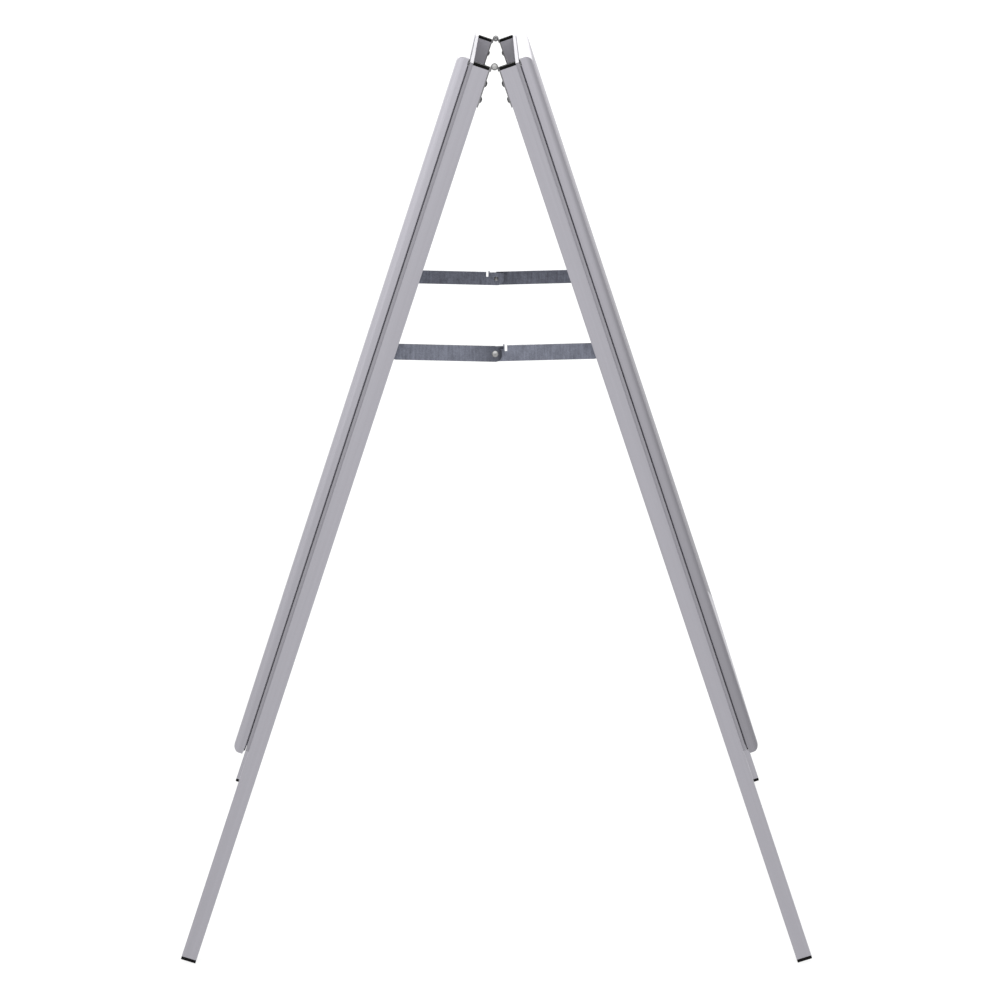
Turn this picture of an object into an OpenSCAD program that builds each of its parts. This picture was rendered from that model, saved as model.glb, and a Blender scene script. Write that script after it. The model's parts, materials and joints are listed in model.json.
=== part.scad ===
// Double-sided folding A-frame poster stand: two leaves, each a pair of square-tube legs
// with a snap-open poster frame on its outer face, hinged together at the top and held
// open by two folding locking stays.
//
// X is the direction in which the leaves splay, Y runs along the hinge line and Z is up.
// The origin is on the floor, in the middle of the footprint. Leaves are called left (-X)
// and right (+X), and the two ends of the hinge line near (-Y) and far (+Y).

/* [Stand] */
// Angle between each open leaf and the vertical, in degrees
lean = 18.6; // [17:0.1:20]
// Width of each leaf along the hinge line
stand_w = 640; // [500:5:760]
// Distance from the hinge axis to the bottom of the foot plugs, along the leg
leg_reach = 1174; // [1050:1:1300]

/* [Legs] */
// Outer width of the square tube
tube = 19; // [19:0.5:21]
// Wall thickness of the tube
tube_wall = 1.2; // [1:0.1:1.5]
// Thickness of the flange of the top plug
top_plug_t = 3.5; // [2:0.5:4]
// Thickness of the flange of the foot plug
foot_plug_t = 4.5; // [3:0.5:6]
// Distance from the hinge axis to the top of the plugs, along the leg
leg_start = 2.5; // [2:0.5:4]
// Distance from the hinge axis to the inner face of the legs
hinge_gap = 5; // [4.8:0.1:5.5]

/* [Snap frame] */
// Outer height of the poster frame
frame_h = 887; // [700:1:950]
// Width of the frame rails, seen from the front
rail_w = 32; // [32:0.5:36]
// Total depth of a closed frame
frame_d = 19.5; // [19:0.25:21]
// Distance from the hinge axis to the top of the frame, along the leg
frame_start = 0.5; // [0:0.5:4]
// Width of the poster that the frame holds
poster_w = 594; // [450:1:714]
// Height of the poster that the frame holds
poster_h = 841; // [650:1:904]

/* [Hinges] */
// Outer radius of the hinge barrel
barrel_r = 3.4; // [3.2:0.1:3.6]
// Radius of the hinge pin
pin_r = 1.8; // [1.5:0.1:1.9]
// Thickness of the hinge leaves
leaf_t = 1.5; // [1.2:0.1:1.6]
// Distance from the hinge axis to the lower end of the hinge leaves
leaf_reach = 50; // [48:1:60]

/* [Stays] */
// Distance from the hinge axis to the end pivots, along the leg
stay_reach = 357; // [300:1:420]
// How far the middle pivot hangs below the end pivots when locked
stay_sag = 3.1; // [2:0.1:4]
// Height of the stay bars
bar_h = 19; // [18:0.5:19.5]
// Thickness of the stay bars
bar_t = 2; // [1.5:0.1:2.2]

/* [Hidden] */

$fn = 48;
LEFT = -1;
RIGHT = 1;
NEAR = -1;
FAR = 1;
BOTTOM = 0;
NEAR_SIDE = -90;
TOP = 180;
FAR_SIDE = 90;
ENDS = [NEAR, FAR];
RAILS = [BOTTOM, NEAR_SIDE, TOP, FAR_SIDE];

half_w = stand_w / 2;
run = 0.05;                       // radial clearance of every turning pin
hinge_z = leg_reach * cos(lean) - hinge_gap * sin(lean);

// Legs and plugs
bore = tube - 2 * tube_wall;
tube_top = leg_start + top_plug_t;
tube_end = leg_reach - foot_plug_t;
outer_x = hinge_gap + tube;
stub_gap = 0.1;
stub_wall = 2;
stub_l = 11;

// Hinge leaves and their rivets
leaf_w = tube - 2;
leaf_margin = 1;
knuckle_gap = 0.3;
neck_reach = 6;
neck_top = 2;
neck_x = 2.2;
hinge_rivet_r = 1.6;
hinge_rivet_u = [22.4, 41.5];
hinge_rivet_head = [4.1, 2.2];    // radius and height
hinge_rivet_bulb = [2.3, 3];
mandrel_depth = 1.2;              // depth of the blind hole in a rivet's head
pin_head = [4.1, 0.9];
hole_slack = 0.05;

// Stay geometry: end pivots in leaf axes, then in the stand's axes
stay_x = hinge_gap + tube / 2;
end_x = stay_reach * sin(lean) + stay_x * cos(lean);
end_z = hinge_z - stay_reach * cos(lean) + stay_x * sin(lean);
mid_z = end_z - stay_sag;
bar_l = sqrt(end_x * end_x + stay_sag * stay_sag);
sag_angle = atan(stay_sag / end_x);
stay_rivet_r = 2;
stay_rivet_head = [4.1, 2];
stay_rivet_tail = [3.2, 1.5];
stay_rivet_bulb = [2.8, 3];
stay_rivet_hole = [0.9, 1.4];     // radius and depth
part_gap = 0.05;
washer_r = 5;
inside_y = -half_w + tube;        // inner side face of a near leg
plain_y = inside_y + 2.4;         // front face of the plain bar
bar_gap = 1.2;
notched_y = plain_y + bar_t + bar_gap;
split_y = notched_y - bar_gap / 2;
bar_end_r = 8;
bar_taper = 10;                   // length over which a bar narrows to its end pivot
bar_drop = bar_h / 2 - bar_end_r;
finger_l = 9.5;                   // reach of the plain bar's finger past the middle pivot
finger_z = [6.2, 8.8];            // lower and upper edge of the finger
slot_x = 11.4;
slot_w = 3;
slot_d = 7;
notched_end = 10.9;               // how far the notched bar runs past the middle pivot
notched_corner_r = 9;
ear_w = 1.7;
ear_h = 1.3;
ear_foot = 4.5;                   // where the bent part of the ear starts
ear_bend = 1;                     // how far the ear is bent forwards

// Snap frame section: a runs from the frame's outer edge inwards, n away from the legs
pivot_a = 4;
pivot_n = 9;
socket_r = 2.5;
bead_r = socket_r - 0.08;
cover_t = 1.4;
socket_t = 2;
socket_end = 260;                 // direction in which the socket's lower end lies
nose_r = 8.5;                      // outer corner of the cover
nose_n = frame_d - nose_r;
lip_r = 11;
lip_n = 6;
lip_a = rail_w - lip_r;
mitre_gap = 0.25;
skirt_n = 6.5;                    // lower edge of the cover's outer side
skirt_swing = norm([pivot_a, pivot_n - skirt_n]);
base_in = 3.8;
base_wall_n = pivot_n - skirt_swing - 0.2;
base_floor = 1.4;
arm_t = 1.6;
web = 1.4;
wall_a = 8.8;
wall_n = 11.2;
arm_angle = 15;
groove_n = 4;
groove_a = 17.2;
ledge_a = rail_w - 1;
panel_t = 0.8;
panel_n = groove_n + 0.1;
sheet_t = 0.5;
sheet_n = panel_n + panel_t + 0.3;
panel_edge = groove_a + 0.2;
key_n = base_floor + 0.1;
key_w = 4.4;
key_t = 3;
key_l = 50;
key_a = wall_a + web + 0.3;
spring_w = 14;
spring_t = 0.7;
screw_a = 12.9;
screw_r = 1.5;
screw_head_r = 2.3;
screw_head_h = 1.3;
screw_l = 9;
screw_first = 70;
screw_count = 4;
screw_pitch = (frame_h - 2 * screw_first) / (screw_count - 1);

alu = "silver";
zinc = "lightsteelblue";
black = "dimgray";

// ---- Placing ----

// Leaf axes: the hinge axis is at x = 0, z = 0, x points out of the leaf and -z down the leg
module on_leaf(side) {
    translate([0, 0, hinge_z])
    if (side == LEFT) mirror([1, 0, 0]) rotate([0, -lean, 0]) children();
    else rotate([0, -lean, 0]) children();
}

// Repeats a shape drawn at the near end of the hinge line at the far end
module at_end(end) {
    if (end == NEAR) children();
    else mirror([0, 1, 0]) children();
}

// Rail axes: x is a, y is n and z runs along the rail, drawn about the middle of the rail
module on_rail(rail) {
    half = (rail == TOP || rail == BOTTOM) ? frame_h / 2 : half_w;
    translate([outer_x, 0, -frame_start - frame_h / 2])
    rotate([rail, 0, 0]) translate([0, 0, -half]) rotate([0, -90, -90]) children();
}

function rail_len(rail) = (rail == TOP || rail == BOTTOM) ? stand_w : frame_h;

// ---- Small parts ----

// Domed head on the plane z = 0
module dome(r, h) {
    ball = (r * r + h * h) / (2 * h);
    rotate_extrude()
    intersection() {
        translate([0, h - ball]) circle(ball, $fn = 96);
        square([r, h]);
    }
}

// Blind rivet along -z: domed head above z = 0, shank through the grip, bulb behind it.
// Head and bulb are given as [radius, height]
module blind_rivet(r, grip, head, bulb) {
    difference() {
        union() {
            dome(head[0], head[1]);
            translate([0, 0, -grip - bulb[1]]) cylinder(h = grip + bulb[1], r = r);
            translate([0, 0, -grip - bulb[1]]) cylinder(h = bulb[1], r = bulb[0]);
        }
        translate([0, 0, head[1] - mandrel_depth])
            cylinder(h = mandrel_depth + 1, r = 0.35 * head[0]);
    }
}

// ---- Legs ----

module leg(side, end) {
    color(alu)
    on_leaf(side) at_end(end)
    difference() {
        translate([hinge_gap, -half_w, -tube_end]) difference() {
            cube([tube, tube, tube_end - tube_top]);
            translate([tube_wall, tube_wall, -1]) cube([bore, bore, tube_end]);
        }
        for (u = hinge_rivet_u) translate([hinge_gap - 1, -half_w + tube / 2, -u])
            rotate([0, 90, 0]) cylinder(h = tube_wall + 2, r = hinge_rivet_r + hole_slack);
        translate([stay_x, inside_y - tube_wall - 1, -stay_reach])
            rotate([-90, 0, 0]) cylinder(h = tube_wall + 2, r = stay_rivet_r + hole_slack);
        for (i = [0 : screw_count - 1])
            translate([outer_x - tube_wall - 1, -half_w + screw_a,
                       -frame_start - screw_first - i * screw_pitch])
            rotate([0, 90, 0]) cylinder(h = tube_wall + 2, r = screw_r + hole_slack);
    }
}

// Hollow stub that grips the inside of the tube
module plug_stub() {
    stub = bore - 2 * stub_gap;
    inset = tube_wall + stub_gap;
    translate([inset, inset, 0]) difference() {
        cube([stub, stub, stub_l]);
        translate([stub_wall, stub_wall, stub_wall])
            cube([stub - 2 * stub_wall, stub - 2 * stub_wall, stub_l]);
    }
}

module top_plug(side, end) {
    color(black)
    on_leaf(side) at_end(end)
    translate([hinge_gap, -half_w, -tube_top]) {
        cube([tube, tube, top_plug_t]);
        mirror([0, 0, 1]) plug_stub();
    }
}

module foot_plug(side, end) {
    color(black)
    on_leaf(side) at_end(end)
    translate([hinge_gap, -half_w, -tube_end]) {
        translate([0, 0, -foot_plug_t]) cube([tube, tube, foot_plug_t]);
        plug_stub();
    }
}

// ---- Hinges ----

knuckle_l = (leaf_w - 2 * knuckle_gap) / 3;

function knuckle_y(i) = -half_w + leaf_margin + i * (knuckle_l + knuckle_gap);

// The left leaf carries the two outer knuckles and the right leaf the middle one
module hinge_leaf(side, end) {
    knuckles = side == LEFT ? [0, 2] : [1];
    color(zinc)
    on_leaf(side) at_end(end)
    difference() {
        union() {
            translate([hinge_gap - leaf_t, -half_w + leaf_margin, -leaf_reach])
                cube([leaf_t, leaf_w, leaf_reach - neck_reach]);
            for (i = knuckles) translate([0, knuckle_y(i), 0]) {
                rotate([-90, 0, 0]) cylinder(h = knuckle_l, r = barrel_r);
                translate([neck_x, 0, -neck_reach - 1])
                    cube([hinge_gap - neck_x, knuckle_l, neck_reach + 1 - neck_top]);
            }
        }
        translate([0, -half_w, 0]) rotate([-90, 0, 0]) cylinder(h = tube, r = pin_r + run);
        for (u = hinge_rivet_u) translate([0, -half_w + tube / 2, -u])
            rotate([0, 90, 0]) cylinder(h = tube, r = hinge_rivet_r + hole_slack);
    }
}

module hinge_pin(end) {
    color(zinc)
    translate([0, 0, hinge_z]) at_end(end)
    translate([0, -half_w + leaf_margin, 0]) rotate([-90, 0, 0]) {
        cylinder(h = leaf_w, r = pin_r);
        mirror([0, 0, 1]) dome(pin_head[0], pin_head[1]);
    }
}

module hinge_rivets(side) {
    color(zinc)
    on_leaf(side)
    for (end = ENDS, u = hinge_rivet_u)
        at_end(end) translate([hinge_gap - leaf_t, -half_w + tube / 2, -u]) rotate([0, -90, 0])
            blind_rivet(hinge_rivet_r, leaf_t + tube_wall, hinge_rivet_head, hinge_rivet_bulb);
}

// ---- Stays ----
// Drawn about the middle pivot of the near stay; the far stay is the same unit turned about Z

module at_stay(end) {
    if (end == NEAR) translate([0, 0, mid_z]) children();
    else rotate([0, 0, 180]) translate([0, 0, mid_z]) children();
}

// Extrudes an outline drawn in x and z over the thickness t, from the plane y = y0 backwards
module plate(y0, t) {
    translate([0, y0 + t, 0]) rotate([90, 0, 0]) linear_extrude(t) children();
}

module bar_holes() {
    circle(stay_rivet_r + run);
    translate([bar_l, 0]) circle(stay_rivet_r + run);
}

// A bar from the middle pivot outwards, with its rounded outer end
module bar_body() {
    half = bar_h / 2;
    polygon([[0, -half], [bar_l - bar_taper, -half], [bar_l, -bar_end_r],
             [bar_l, bar_end_r], [bar_l - bar_taper, half], [0, half]]);
    translate([bar_l, 0]) circle(bar_end_r);
}

// The finger meets the ear of the notched bar when the stay is straight
module plain_bar(end) {
    color(zinc)
    at_stay(end) rotate([0, sag_angle, 0]) mirror([1, 0, 0])
    plate(plain_y, bar_t) difference() {
        union() {
            bar_body();
            circle(bar_end_r);
            translate([0, -bar_drop]) circle(bar_end_r);
            translate([-bar_end_r, -bar_drop]) square([bar_end_r, bar_drop]);
            translate([-finger_l, finger_z[0]])
                square([finger_l, finger_z[1] - finger_z[0]]);
        }
        bar_holes();
    }
}

// The slot frees the ear, which is bent forwards as a stop
module notched_bar(end) {
    half = bar_h / 2;
    ear_x = slot_x - ear_w;
    color(zinc)
    at_stay(end) rotate([0, -sag_angle, 0]) {
        plate(notched_y, bar_t) difference() {
            union() {
                difference() {
                    bar_body();
                    translate([-1, finger_z[1]]) square([ear_x + 1, half]);
                }
                translate([notched_corner_r - notched_end, -half])
                    square([notched_end - notched_corner_r, bar_h - bar_drop]);
                translate([-notched_end, notched_corner_r - half])
                    square([notched_end, bar_end_r + half - notched_corner_r]);
                translate([notched_corner_r - notched_end, notched_corner_r - half])
                    circle(notched_corner_r);
                translate([ear_x, 0]) square([ear_w, half + ear_h]);
            }
            translate([slot_x, half - slot_d]) square([slot_w, bar_h]);
            bar_holes();
        }
        translate([ear_x, notched_y - ear_bend, ear_foot])
            cube([ear_w, ear_bend + bar_t, half + ear_h - ear_foot]);
    }
}

// The middle rivet, parted in the plane between the two bars
module stay_rivet_head(end) {
    color(zinc)
    at_stay(end) translate([0, plain_y, 0]) rotate([90, 0, 0]) difference() {
        union() {
            dome(stay_rivet_head[0], stay_rivet_head[1]);
            mirror([0, 0, 1]) cylinder(h = split_y - plain_y - part_gap, r = stay_rivet_r);
        }
        translate([0, 0, stay_rivet_head[1] - stay_rivet_hole[1]])
            cylinder(h = stay_rivet_hole[1] + 1, r = stay_rivet_hole[0]);
    }
}

module stay_rivet_tail(end) {
    color(zinc)
    at_stay(end) translate([0, notched_y + bar_t, 0]) rotate([-90, 0, 0]) {
        dome(stay_rivet_tail[0], stay_rivet_tail[1]);
        mirror([0, 0, 1]) cylinder(h = notched_y + bar_t - split_y - part_gap, r = stay_rivet_r);
    }
}

// On the left leaf the near bar is the plain one and the far bar the notched one
function bar_back_y(side, end) = (side * end == 1 ? plain_y : notched_y) + bar_t;

module stay_end_rivets(side) {
    color(zinc)
    on_leaf(side)
    for (end = ENDS) at_end(end)
        translate([stay_x, bar_back_y(side, end), -stay_reach]) rotate([-90, 0, 0])
            blind_rivet(stay_rivet_r, bar_back_y(side, end) - inside_y + tube_wall,
                        stay_rivet_head, stay_rivet_bulb);
}

module stay_spacers(side) {
    color(zinc)
    on_leaf(side)
    for (end = ENDS) at_end(end)
        translate([stay_x, inside_y, -stay_reach]) rotate([-90, 0, 0]) difference() {
            cylinder(h = bar_back_y(side, end) - bar_t - inside_y - 0.1, r = washer_r);
            translate([0, 0, -1]) cylinder(h = 10, r = stay_rivet_r + hole_slack);
        }
}

// ---- Snap frame ----

// Everything between the two mitre cuts of a rail
module mitred(rail) {
    half = rail_len(rail) / 2 - mitre_gap;
    intersection() {
        children();
        translate([0, frame_d + 1, 0]) rotate([90, 0, 0]) linear_extrude(frame_d + 2)
            polygon([[-1, -half - 1], [rail_w, -half + rail_w],
                     [rail_w, half - rail_w], [-1, half + 1]]);
    }
}

// Chamfers the ends of a cover's socket, so that it stays on its own side of the mitre
// when the cover stands open
module relieved(rail) {
    half = rail_len(rail) / 2 - mitre_gap;
    clear_n = pivot_a + pivot_n;
    intersection() {
        children();
        translate([-1, 0, 0]) rotate([0, 90, 0]) linear_extrude(rail_w + 2)
            polygon([[clear_n - half, 0], [-half, clear_n], [-half, frame_d + 1],
                     [half, frame_d + 1], [half, clear_n], [half - clear_n, 0]]);
    }
}

// Cuts back the outer corners of the top and bottom covers, where the skirts of the near
// and far covers lie when all of them stand open
module cut_back(rail) {
    cut = pivot_a + pivot_n - skirt_n + 2 * mitre_gap;
    wide = 2 * pivot_a + mitre_gap;
    difference() {
        children();
        if (rail == TOP || rail == BOTTOM) for (s = [0, 1]) mirror([0, 0, s])
            translate([-1, -1, rail_len(rail) / 2 - cut])
            cube([wide + 1, pivot_a + pivot_n + mitre_gap + 1, cut + 1]);
    }
}

module along_rail(length) {
    translate([0, 0, -length / 2]) linear_extrude(length) children();
}

module base_section() {
    translate([base_in, 0]) square([ledge_a - base_in, base_floor]);
    translate([base_in, 0]) square([web, base_wall_n]);
    translate([wall_a, 0]) square([web, wall_n]);
    translate([pivot_a, pivot_n]) {
        circle(bead_r);
        rotate(arm_angle) translate([0, -arm_t / 2]) square([wall_a - pivot_a + 0.6, arm_t]);
    }
    translate([groove_a - web, 0]) square([web, sheet_n + 1]);
    translate([groove_a - web, panel_n + panel_t + 0.1]) square([6.5, 1.1]);
    for (a = [groove_a + 1, ledge_a - web]) translate([a, 0]) square([web, groove_n]);
}

module base_rail(side, rail) {
    color(alu)
    on_leaf(side) on_rail(rail) difference() {
        mitred(rail) along_rail(rail_len(rail)) base_section();
        if (rail == NEAR_SIDE || rail == FAR_SIDE)
            for (i = [0 : screw_count - 1])
                translate([screw_a, -1, (i - (screw_count - 1) / 2) * screw_pitch])
                rotate([-90, 0, 0]) cylinder(h = base_floor + 2, r = screw_r + hole_slack);
    }
}

// Angle of the straight face that runs tangent to the nose and lip arcs
face_run = [lip_a - nose_r, lip_n - nose_n];
face_angle = atan2(face_run[1], face_run[0])
    + acos((nose_r - lip_r) / norm(face_run));

// Rounded front of a cover, shrunk by the distance t
module cover_outline(t) {
    nose = [nose_r, nose_n];
    lip = [lip_a, lip_n];
    out = [cos(face_angle), sin(face_angle)];
    translate(nose) circle(nose_r - t, $fn = 120);
    translate(lip) circle(lip_r - t, $fn = 120);
    polygon([[t, 0], [t, nose_n], nose, nose + (nose_r - t) * out,
             lip + (lip_r - t) * out, lip, [lip_a, 0]]);
}

module cover_shell() {
    difference() {
        cover_outline(0);
        cover_outline(cover_t);
        translate([-1, -frame_d]) square([lip_a + 1, frame_d + skirt_n]);
        translate([-1, -frame_d]) square([rail_w + 2, frame_d + lip_n]);
    }
}

// Open ring that turns on the bead of the base rail, flattened where it joins the shell
module cover_socket() {
    reach = 2 * pivot_a;
    translate([pivot_a, pivot_n]) difference() {
        circle(socket_r + socket_t);
        circle(socket_r);
        polygon([[0, 0], reach * [cos(60), sin(60)], reach * [1.5, 0],
                 reach * [1, -2], reach * [cos(socket_end), sin(socket_end)]]);
        translate([-reach, -reach]) square([reach - pivot_a + cover_t / 2, 2 * reach]);
    }
}

module snap_cover(side, rail) {
    color(alu)
    on_leaf(side) on_rail(rail) cut_back(rail) mitred(rail) {
        along_rail(rail_len(rail)) cover_shell();
        relieved(rail) along_rail(rail_len(rail)) cover_socket();
    }
}

module corner_keys(side) {
    color(zinc)
    on_leaf(side) for (rail = RAILS) on_rail(rail)
        translate([key_a, key_n, -rail_len(rail) / 2 + key_a]) {
            cube([key_w, key_t, key_l]);
            cube([key_l, key_t, key_w]);
        }
}

module spring_section() {
    foot = wall_a + web + 0.3;
    top = 11.8;
    translate([foot, base_floor + 0.1]) {
        square([key_w, spring_t]);
        square([spring_t, top - base_floor]);
    }
    polygon([[foot, top], [foot + spring_t, top - 0.4],
             [foot + 4.3, top + 4.1], [foot + 3.8, top + 4.6]]);
}

module snap_springs(side) {
    color(zinc)
    on_leaf(side) for (rail = RAILS, s = [-1, 1]) on_rail(rail)
        translate([0, 0, s * rail_len(rail) / 5]) along_rail(spring_w) spring_section();
}

// Flat sheet of the given size lying n above the outer faces of the legs
module flat_sheet(side, w, h, n, t) {
    on_leaf(side)
    translate([outer_x + n, -w / 2, -frame_start - frame_h / 2 - h / 2]) cube([t, w, h]);
}

module back_panel(side) {
    color("white")
    flat_sheet(side, stand_w - 2 * panel_edge, frame_h - 2 * panel_edge, panel_n, panel_t);
}

module clear_sheet(side) {
    color("aliceblue")
    flat_sheet(side, poster_w, poster_h, sheet_n, sheet_t);
}

module frame_screws(side) {
    color(zinc)
    on_leaf(side) for (rail = [NEAR_SIDE, FAR_SIDE], i = [0 : screw_count - 1])
        on_rail(rail)
        translate([screw_a, base_floor, (i - (screw_count - 1) / 2) * screw_pitch])
        rotate([-90, 0, 0]) {
            dome(screw_head_r, screw_head_h);
            translate([0, 0, -screw_l]) cylinder(h = screw_l, r = screw_r);
        }
}

// ---- Nodes ----

leg(LEFT, NEAR);  // left_near_leg
leg(LEFT, FAR);  // left_far_leg
leg(RIGHT, NEAR);  // right_near_leg
leg(RIGHT, FAR);  // right_far_leg
top_plug(LEFT, NEAR);  // left_near_top_plug
top_plug(LEFT, FAR);  // left_far_top_plug
top_plug(RIGHT, NEAR);  // right_near_top_plug
top_plug(RIGHT, FAR);  // right_far_top_plug
foot_plug(LEFT, NEAR);  // left_near_foot_plug
foot_plug(LEFT, FAR);  // left_far_foot_plug
foot_plug(RIGHT, NEAR);  // right_near_foot_plug
foot_plug(RIGHT, FAR);  // right_far_foot_plug
hinge_leaf(LEFT, NEAR);  // left_near_hinge_leaf
hinge_leaf(LEFT, FAR);  // left_far_hinge_leaf
hinge_leaf(RIGHT, NEAR);  // right_near_hinge_leaf
hinge_leaf(RIGHT, FAR);  // right_far_hinge_leaf
hinge_pin(NEAR);  // near_hinge_pin
hinge_pin(FAR);  // far_hinge_pin
hinge_rivets(LEFT);  // left_hinge_rivets
hinge_rivets(RIGHT);  // right_hinge_rivets
plain_bar(NEAR);  // near_plain_bar
notched_bar(NEAR);  // near_notched_bar
plain_bar(FAR);  // far_plain_bar
notched_bar(FAR);  // far_notched_bar
stay_rivet_head(NEAR);  // near_stay_rivet_head
stay_rivet_tail(NEAR);  // near_stay_rivet_tail
stay_rivet_head(FAR);  // far_stay_rivet_head
stay_rivet_tail(FAR);  // far_stay_rivet_tail
stay_end_rivets(LEFT);  // left_stay_end_rivets
stay_end_rivets(RIGHT);  // right_stay_end_rivets
stay_spacers(LEFT);  // left_stay_spacers
stay_spacers(RIGHT);  // right_stay_spacers
base_rail(LEFT, TOP);  // left_top_base_rail
base_rail(LEFT, BOTTOM);  // left_bottom_base_rail
base_rail(LEFT, NEAR_SIDE);  // left_near_base_rail
base_rail(LEFT, FAR_SIDE);  // left_far_base_rail
base_rail(RIGHT, TOP);  // right_top_base_rail
base_rail(RIGHT, BOTTOM);  // right_bottom_base_rail
base_rail(RIGHT, NEAR_SIDE);  // right_near_base_rail
base_rail(RIGHT, FAR_SIDE);  // right_far_base_rail
snap_cover(LEFT, TOP);  // left_top_snap_cover
snap_cover(LEFT, BOTTOM);  // left_bottom_snap_cover
snap_cover(LEFT, NEAR_SIDE);  // left_near_snap_cover
snap_cover(LEFT, FAR_SIDE);  // left_far_snap_cover
snap_cover(RIGHT, TOP);  // right_top_snap_cover
snap_cover(RIGHT, BOTTOM);  // right_bottom_snap_cover
snap_cover(RIGHT, NEAR_SIDE);  // right_near_snap_cover
snap_cover(RIGHT, FAR_SIDE);  // right_far_snap_cover
corner_keys(LEFT);  // left_corner_keys
corner_keys(RIGHT);  // right_corner_keys
snap_springs(LEFT);  // left_snap_springs
snap_springs(RIGHT);  // right_snap_springs
back_panel(LEFT);  // left_back_panel
back_panel(RIGHT);  // right_back_panel
clear_sheet(LEFT);  // left_clear_sheet
clear_sheet(RIGHT);  // right_clear_sheet
frame_screws(LEFT);  // left_frame_screws
frame_screws(RIGHT);  // right_frame_screws
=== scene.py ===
import json
import math

import bpy
from mathutils import Matrix, Vector

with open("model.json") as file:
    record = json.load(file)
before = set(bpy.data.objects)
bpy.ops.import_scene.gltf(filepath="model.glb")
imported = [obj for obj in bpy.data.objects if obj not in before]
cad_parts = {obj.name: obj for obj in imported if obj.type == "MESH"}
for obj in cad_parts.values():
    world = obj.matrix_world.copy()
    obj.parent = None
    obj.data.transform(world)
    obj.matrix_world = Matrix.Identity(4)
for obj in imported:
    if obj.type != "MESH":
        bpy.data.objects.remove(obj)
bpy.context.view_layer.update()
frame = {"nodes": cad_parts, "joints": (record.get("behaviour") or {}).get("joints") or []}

# ---- Facts of the frame ----

FOLD = next(joint for joint in frame["joints"] if joint["name"] == "fold")
LEAN = math.radians(FOLD["range_deg"][1] / 2)      # angle of each open leaf to the vertical
HINGE_Z = FOLD["pos_m"][2]
PAINTED_LIGHT_LOW_Z = 0.35                        # height of the lower end of the covers' painted light and shade
UPRIGHT = Vector((0, 0, 1))
DEPTH_AXIS = Vector((0, 1, 0))


def leg_axis(side):
    """Unit vector up the legs of a leaf; side is -1 for the left leaf and 1 for the right."""
    return Vector((-side * math.sin(LEAN), 0, math.cos(LEAN)))


def side_of(name):
    """-1 for a node of the left leaf, 1 for one of the right leaf and 0 for the rest."""
    return {"left": -1, "right": 1}.get(name.split("_")[0], 0)


def slot_nodes(slot):
    """Names of the CAD nodes that carry this material slot."""
    return sorted(
        name for name, node in frame["nodes"].items()
        if node.data.materials[0].name.split(".")[0] == slot
    )


# ---- Shader helpers ----

class Nodes:
    """A node tree under construction. Every method but fill and add returns an output socket."""

    def __init__(self, tree):
        self.tree = tree

    def fill(self, socket, value):
        """Sets an input socket to a value, or links another socket to it."""
        if isinstance(value, bpy.types.NodeSocket):
            self.tree.links.new(value, socket)
        else:
            socket.default_value = value

    def add(self, kind, inputs=(), **settings):
        node = self.tree.nodes.new("ShaderNode" + kind)
        for key, value in settings.items():
            setattr(node, key, value)
        for key, value in dict(inputs).items():
            self.fill(node.inputs[key], value)
        return node

    def position(self):
        return self.add("TexCoord").outputs["Object"]

    def direction(self):
        """In a world, the direction that is looked in."""
        return self.add("TexCoord").outputs["Generated"]

    def normal(self):
        return self.add("TexCoord").outputs["Normal"]

    def math(self, operation, a, b=0.0):
        return self.add("Math", {0: a, 1: b}, operation=operation).outputs[0]

    def along(self, vector, axis):
        """Component of a vector along a fixed axis."""
        inputs = {0: vector, 1: axis}
        return self.add("VectorMath", inputs, operation="DOT_PRODUCT").outputs["Value"]

    def stretched(self, axis, factor):
        """Position, shrunk by a factor along one axis, so that patterns run along it."""
        position = self.position()
        length = self.along(position, axis)
        cut = self.math("MULTIPLY", length, 1.0 - factor)
        shift = self.scaled(axis, cut)
        return self.add("VectorMath", {0: position, 1: shift}, operation="SUBTRACT").outputs[0]

    def noise(self, vector, scale, detail=2.0, roughness=0.5):
        inputs = {"Vector": vector, "Scale": scale, "Detail": detail, "Roughness": roughness}
        return self.add("TexNoise", inputs).outputs["Fac"]

    def cells(self, vector, scale):
        """Flat-coloured crystals, as a grey level."""
        inputs = {"Vector": vector, "Scale": scale}
        colour = self.add("TexVoronoi", inputs).outputs["Color"]
        return self.add("SeparateColor", {0: colour}).outputs[0]

    def span(self, value, low, high, to_low, to_high):
        """Maps a value from one range onto another and stops at its ends."""
        inputs = {0: value, 1: low, 2: high, 3: to_low, 4: to_high}
        return self.add("MapRange", inputs).outputs[0]

    def scaled(self, vector, factor):
        """A vector made longer, or a colour made brighter."""
        inputs = {0: vector, "Scale": factor}
        return self.add("VectorMath", inputs, operation="SCALE").outputs[0]

    def mix(self, factor, a, b):
        """Blends two colours."""
        node = self.add("Mix", data_type="RGBA")
        for socket, value in zip((0, 6, 7), (factor, a, b)):
            self.fill(node.inputs[socket], value)
        return node.outputs[2]

    def bump(self, height, strength, distance, before=None):
        inputs = {"Height": height, "Strength": strength, "Distance": distance}
        if before is not None:
            inputs["Normal"] = before
        return self.add("Bump", inputs).outputs[0]


class Shader(Nodes):
    """The nodes of a new material around its Principled surface."""

    def __init__(self, name, **values):
        self.material = bpy.data.materials.new(name)
        self.material.use_nodes = True
        super().__init__(self.material.node_tree)
        self.surface = self.tree.nodes["Principled BSDF"]
        for socket, value in values.items():
            self.plug(socket.replace("_", " "), value)

    def plug(self, socket, value):
        """Sets one input of the surface shader to a value, or links it."""
        self.fill(self.surface.inputs[socket], value)


def grey(level, tint=(1.0, 1.0, 1.0)):
    return tuple(level * part for part in tint) + (1.0,)


# ---- Materials ----

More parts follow.
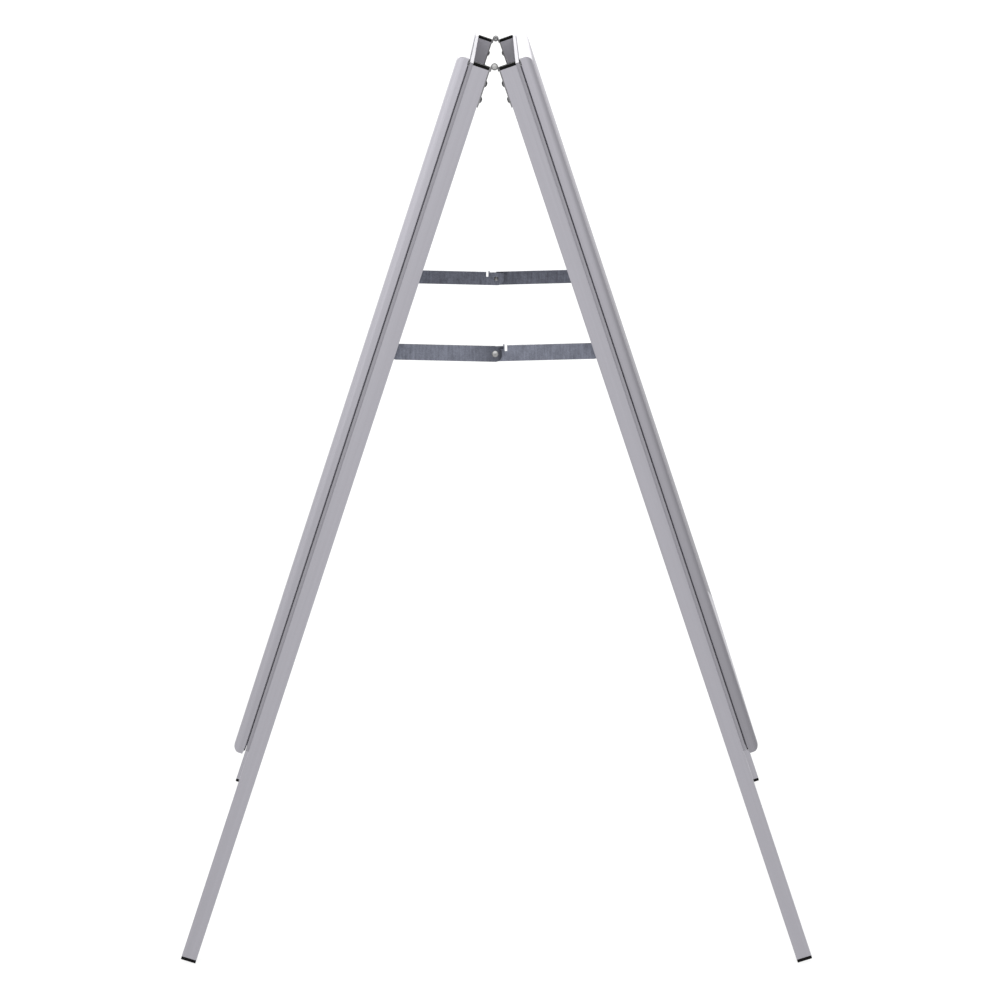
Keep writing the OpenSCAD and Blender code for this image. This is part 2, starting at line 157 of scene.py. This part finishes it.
COOL = (0.985, 0.965, 1.055)         # the slight violet cast of the anodised metal
CUT_FACE = 0.5                       # a face whose normal is this far along its rail is a sawn end


def anodised(name, axis, level, roughness, cut_level, painted_light=(1.0, 1.0)):
    """Satin anodised aluminium, extruded along an axis, with bare metal on its sawn ends.

    Fade scales its brightness at PAINTED_LIGHT_LOW_Z and at the height of the hinges. It is tuned to the
    photo and stands in for its light; it is not a finish seen on the object.
    """
    shader = Shader(name, Metallic=1.0)
    fibres = shader.stretched(axis, 0.004)
    clouds = shader.noise(shader.stretched(axis, 0.15), 24.0, 3.0)
    streaks = shader.noise(fibres, 900.0, 4.0, 0.6)
    die_lines = shader.noise(fibres, 240.0, 2.0, 0.5)
    grain = shader.noise(shader.position(), 2600.0, 2.0)

    tone = shader.math("ADD", shader.math("MULTIPLY", streaks, 0.6),
                       shader.math("MULTIPLY", die_lines, 0.4))
    face = shader.mix(shader.span(tone, 0.3, 0.7, 0.0, 1.0),
                      grey(level * 0.93, COOL), grey(level * 1.07, COOL))
    face = shader.mix(shader.span(clouds, 0.35, 0.65, 0.0, 0.5), face,
                      grey(level * 0.96, COOL))
    height = shader.along(shader.position(), UPRIGHT)
    # Painted light and shade: brightness is scaled with height, darker low down, standing in for
    # the light
    face = shader.scaled(face, shader.span(height, PAINTED_LIGHT_LOW_Z, HINGE_Z, *painted_light))
    facing = shader.math("ABSOLUTE", shader.along(shader.normal(), axis))
    sawn = shader.math("GREATER_THAN", facing, CUT_FACE)
    shader.plug("Base Color", shader.mix(sawn, face, grey(cut_level)))

    rough = shader.span(tone, 0.3, 0.7, roughness - 0.05, roughness + 0.05)
    shader.plug("Roughness", rough)
    lines = shader.bump(tone, 0.12, 0.0003)
    shader.plug("Normal", shader.bump(grain, 0.06, 0.0001, lines))
    return shader.material


def zinc_plate(name, level, tint, roughness, scale, painted_shade_side=0):
    """Zinc-plated pressed steel: softly mottled, with a fine grain and faint rolling marks.

    A bar with a dark side, -1 or 1, darkens towards its pivot at X = 0, and most past it,
    as the plain bars look in the photo.
    """
    shader = Shader(name, Metallic=1.0)
    position = shader.position()
    patches = shader.noise(position, scale, 4.0, 0.62)
    crystals = shader.cells(position, scale * 9)
    rolled = shader.noise(shader.stretched(UPRIGHT, 0.12), 420.0, 3.0)
    tone = shader.math("ADD", shader.math("MULTIPLY", patches, 0.4),
                       shader.math("MULTIPLY", crystals, 0.15))
    tone = shader.math("ADD", tone, shader.math("MULTIPLY", rolled, 0.45))
    colour = shader.mix(shader.span(tone, 0.32, 0.68, 0.0, 1.0),
                        grey(level * 0.72, tint), grey(level * 1.28, tint))
    # Painted shade: the bar darkens towards its pivot and most past it, where the two bars overlap
    if painted_shade_side:
        inward = shader.along(position, Vector((painted_shade_side, 0, 0)))
        near_pivot = shader.span(inward, -0.035, 0.0, 0.0, 0.45)
        past_pivot = shader.span(inward, 0.002, 0.006, 0.0, 0.35)
        colour = shader.mix(shader.math("ADD", near_pivot, past_pivot), colour,
                            grey(level * 0.12, tint))
    shader.plug("Base Color", colour)
    shader.plug("Roughness", shader.span(tone, 0.3, 0.7, roughness + 0.08, roughness - 0.08))
    shader.plug("Normal", shader.bump(tone, 0.15, 0.0003))
    return shader.material


def bright_steel(name, level, roughness, reflection_rim=None):
    """Turned or drawn bright metal of rivets, pins and screws, with faint handling marks.

    A rim, as the radii about the hinge axis between which it begins, is darker, as the pins
    look in the photo.
    """
    shader = Shader(name, Metallic=1.0)
    position = shader.position()
    marks = shader.noise(position, 900.0, 4.0, 0.6)
    stains = shader.noise(position, 140.0, 2.0)
    colour = shader.mix(shader.span(marks, 0.35, 0.65, 0.0, 1.0),
                        grey(level * 0.8), grey(level * 1.1))
    colour = shader.mix(shader.span(stains, 0.5, 0.7, 0.0, 0.35), colour,
                        grey(level * 0.55, (0.95, 0.97, 1.08)))
    # Painted reflection: the pin darkens outside these radii about the hinge axis, standing in for
    # a dark reflection
    if reflection_rim:
        flattened = shader.add("VectorMath", {0: position, 1: (1, 0, 1)}, operation="MULTIPLY")
        centre = {0: flattened.outputs[0], 1: (0, 0, HINGE_Z)}
        radius = shader.add("VectorMath", centre, operation="DISTANCE").outputs["Value"]
        colour = shader.mix(shader.span(radius, reflection_rim[0], reflection_rim[1], 0.0, 0.8), colour,
                            grey(level * 0.2))
    shader.plug("Base Color", colour)
    shader.plug("Roughness", shader.span(marks, 0.3, 0.7, roughness - 0.06, roughness + 0.08))
    shader.plug("Normal", shader.bump(marks, 0.08, 0.0002))
    return shader.material


def moulded_plastic(name, level, roughness):
    """Black moulded plug: fine spark-eroded grain, scuffed a little lighter in places."""
    shader = Shader(name, IOR=1.12)
    position = shader.position()
    grain = shader.noise(position, 2200.0, 3.0, 0.6)
    scuffs = shader.noise(position, 160.0, 5.0, 0.7)
    colour = shader.mix(shader.span(scuffs, 0.55, 0.75, 0.0, 0.6),
                        grey(level), grey(level * 2.6))
    shader.plug("Base Color", colour)
    shader.plug("Roughness", shader.span(scuffs, 0.4, 0.7, roughness, roughness + 0.15))
    shader.plug("Normal", shader.bump(grain, 0.35, 0.0002))
    return shader.material


def galvanised(name, level):
    """Galvanised sheet: broad spangle crystals under a dull zinc skin."""
    shader = Shader(name, Metallic=1.0)
    position = shader.position()
    warp = shader.noise(position, 45.0, 2.0)
    bend = shader.math("MULTIPLY", warp, 0.02)
    warped = shader.add("VectorMath", {0: position, 1: bend}, operation="ADD").outputs[0]
    spangle = shader.cells(warped, 70.0)
    fine = shader.cells(position, 420.0)
    dust = shader.noise(position, 9.0, 4.0, 0.6)
    tone = shader.math("ADD", shader.math("MULTIPLY", spangle, 0.55),
                       shader.math("MULTIPLY", fine, 0.2))
    tone = shader.math("ADD", tone, shader.math("MULTIPLY", dust, 0.25))
    colour = shader.mix(shader.span(tone, 0.15, 0.85, 0.0, 1.0),
                        grey(level * 0.84, COOL), grey(level * 1.12))
    shader.plug("Base Color", colour)
    shader.plug("Roughness", shader.span(tone, 0.1, 0.9, 0.36, 0.56))
    shader.plug("Normal", shader.bump(spangle, 0.05, 0.0002))
    return shader.material


def clear_plastic(name):
    """Anti-glare clear sheet: almost all of the light passes, with a soft satin reflection."""
    shader = Shader(name, Alpha=0.16, IOR=1.49)
    grain = shader.noise(shader.position(), 1500.0, 3.0)
    haze = shader.noise(shader.position(), 7.0, 3.0)
    shader.plug("Base Color", shader.mix(haze, grey(0.86), grey(0.95, (0.98, 1.0, 1.01))))
    shader.plug("Roughness", shader.span(haze, 0.3, 0.7, 0.16, 0.24))
    shader.plug("Normal", shader.bump(grain, 0.05, 0.0001))
    return shader.material


def finish_rails(slot, level, roughness, cut_level, painted_light=None):
    """Anodised finish for each rail or tube of a slot, grained along its own length.

    Its last argument holds the painted light and shade values for anodised() by side.
    """
    made = {}
    for name in slot_nodes(slot):
        across = name.split("_")[1] in ("top", "bottom")
        side = side_of(name)
        key = "level" if across else {-1: "left", 1: "right"}[side]
        if key not in made:
            axis = DEPTH_AXIS if across else leg_axis(side)
            ends = (1.0, 1.0) if across or not painted_light else painted_light[side]
            made[key] = anodised(f"{slot}_{key}", axis, level, roughness, cut_level, ends)
        frame["nodes"][name].material_slots[0].material = made[key]


def finish_nodes(names, material):
    for name in names:
        frame["nodes"][name].material_slots[0].material = material


def finish(slot, material):
    finish_nodes(slot_nodes(slot), material)


COVER_PAINTED_LIGHT = {-1: (0.93, 1.14), 1: (0.7, 1.02)}      # painted light and shade on the covers, by side: brightness at the lower end height and at the hinges
PIN_REFLECTION_RIM = (0.0023, 0.0034)           # radii between which the painted dark reflection on the rim of a pin begins
STEEL_BLUE = (0.9, 0.95, 1.16)
NEUTRAL = (1.0, 0.99, 1.02)
STAY_LOOK = (STEEL_BLUE, 0.42, 120.0)                 # tint, roughness and scale of the patches
STAY_LEVEL = 0.18
PLAIN_BAR_LEVEL = 0.175

finish_rails("leg_tube", 0.37, 0.42, 0.75)
# The base rails are set darker than the legs and covers: painted shade of the groove they sit in
finish_rails("frame_base", 0.31, 0.42, 0.6)
finish_rails("snap_cover", 0.37, 0.38, 0.7, COVER_PAINTED_LIGHT)
finish("zinc_stay", zinc_plate("zinc_stay", STAY_LEVEL, *STAY_LOOK))
finish("zinc_hinge", zinc_plate("zinc_hinge", 0.2, NEUTRAL, 0.4, 160.0))
finish("zinc_hardware", zinc_plate("zinc_hardware", 0.4, (0.97, 0.98, 1.05), 0.32, 240.0))
finish("bright_rivet", bright_steel("bright_rivet", 0.34, 0.35))
finish("spring_steel", bright_steel("spring_steel", 0.4, 0.3))
finish("black_plastic", moulded_plastic("black_plastic", 0.005, 0.6))
finish("galvanised_panel", galvanised("galvanised_panel", 0.45))
finish("clear_sheet", clear_plastic("clear_sheet"))

for end, painted_shade_side in (("near", 1), ("far", -1)):
    finish_nodes([f"{end}_plain_bar"],
                 zinc_plate(f"{end}_plain_zinc", PLAIN_BAR_LEVEL, *STAY_LOOK, painted_shade_side))
finish_nodes(["near_hinge_pin", "far_hinge_pin"],
             bright_steel("pin_steel", 0.4, 0.16, PIN_REFLECTION_RIM))
finish_nodes(["left_hinge_rivets", "right_hinge_rivets"],
             bright_steel("dull_rivet", 0.26, 0.4))


# ---- Edges ----

FLAT_ANGLE = 0.5                     # facets that meet at less than this, in degrees, are one face
SHARP_ANGLE = 32                     # edges that turn by more than this, in degrees, are rounded
WELD_DISTANCE = 1e-5


def soften(name, width):
    """Breaks the sharp edges of a CAD node by a small real radius."""
    node = frame["nodes"][name]
    weld = node.modifiers.new("weld", "WELD")
    weld.merge_threshold = WELD_DISTANCE
    flat = node.modifiers.new("flat", "DECIMATE")
    flat.decimate_type = "DISSOLVE"
    flat.angle_limit = math.radians(FLAT_ANGLE)
    bevel = node.modifiers.new("bevel", "BEVEL")
    bevel.width = width
    bevel.segments = 2
    bevel.limit_method = "ANGLE"
    bevel.angle_limit = math.radians(SHARP_ANGLE)
    bevel.use_clamp_overlap = True
    bevel.miter_outer = "MITER_ARC"
    shading = node.modifiers.new("shading", "WEIGHTED_NORMAL")
    shading.mode = "FACE_AREA"
    shading.weight = 100


# Edge radius by material slot. A node whose finish has a name other than its slot's, such as
# a leg, rail, cover, plain bar, hinge pin or hinge rivet, is not found here and keeps the
# CAD's edges.
EDGE = {
    "black_plastic": 0.0005,
    "zinc_stay": 0.00025,
    "zinc_hinge": 0.0002,
    "zinc_hardware": 0.0001,
    "bright_rivet": 0.0001,
    "spring_steel": 0.0001,
    "galvanised_panel": 0.00015,
    "clear_sheet": 0.0001,
}
for slot, width in EDGE.items():
    for name in slot_nodes(slot):
        soften(name, width)


# ---- Camera, light and floor ----

# The pinhole camera that was fitted to the photo: lens and sensor in millimetres, angles in
# degrees
LENS = 83.615
SENSOR = 36.0
CAMERA_AT = (0.00777, -3.01324, 1.27694)
CAMERA_PITCH = 14.087                # downwards
CAMERA_ROLL = -0.1
CAMERA_YAW = 0.05


def make_camera():
    data = bpy.data.cameras.new("camera")
    data.lens = LENS
    data.sensor_width = SENSOR
    camera = bpy.data.objects.new("camera", data)
    bpy.context.scene.collection.objects.link(camera)
    turn = (Matrix.Rotation(math.radians(CAMERA_YAW), 4, "Z")
            @ Matrix.Rotation(math.pi / 2 - math.radians(CAMERA_PITCH), 4, "X")
            @ Matrix.Rotation(math.radians(CAMERA_ROLL), 4, "Z"))
    camera.matrix_world = Matrix.Translation(CAMERA_AT) @ turn
    bpy.context.scene.camera = camera


FLOOR_HALF = 400.0                   # far enough for the floor to fill the view
FLOOR_GLOW = 0.91


def make_floor(half):
    """A plain pale floor that glows evenly, like a light table, so that no shadow patch shows."""
    mesh = bpy.data.meshes.new("floor")
    corners = [(-half, -half, 0), (half, -half, 0), (half, half, 0), (-half, half, 0)]
    mesh.from_pydata(corners, [], [(0, 1, 2, 3)])
    floor = bpy.data.objects.new("floor", mesh)
    bpy.context.scene.collection.objects.link(floor)
    shader = Shader("floor", Roughness=0.9)
    shader.plug("Base Color", grey(0.06))
    shader.plug("Emission Color", grey(1.0))
    shader.plug("Emission Strength", FLOOR_GLOW)
    mesh.materials.append(shader.material)


# Light from each direction: from all sides, and what the left, the backdrop, both ends and
# the ceiling add to it
ROOM = 0.65
LEFT_LIGHT = 0.33
BACKDROP = 0.85
BACKDROP_FOCUS = 8.0
END_LIGHT = 0.55
TOP_LIGHT = 1.8


def make_world():
    """Broad soft light, with a bright backdrop and more light from above and the left."""
    world = bpy.data.worlds.new("world")
    world.use_nodes = True
    nodes = Nodes(world.node_tree)
    look = nodes.direction()
    depth = nodes.along(look, DEPTH_AXIS)
    height = nodes.math("MAXIMUM", nodes.along(look, UPRIGHT), 0.0)
    backdrop = nodes.math("POWER", nodes.math("MAXIMUM", depth, 0.0), BACKDROP_FOCUS)
    both_ends = nodes.math("MULTIPLY", depth, depth)
    level = nodes.math("ADD", ROOM, nodes.along(look, Vector((-LEFT_LIGHT, 0, 0))))
    for part, strength in ((backdrop, BACKDROP), (both_ends, END_LIGHT), (height, TOP_LIGHT)):
        level = nodes.math("ADD", level, nodes.math("MULTIPLY", part, strength))
    background = world.node_tree.nodes["Background"]
    nodes.fill(background.inputs["Strength"], level)
    nodes.fill(background.inputs["Color"], grey(1.0))
    bpy.context.scene.world = world


make_camera()
make_world()
make_floor(FLOOR_HALF)
bpy.context.scene.view_settings.view_transform = "Standard"
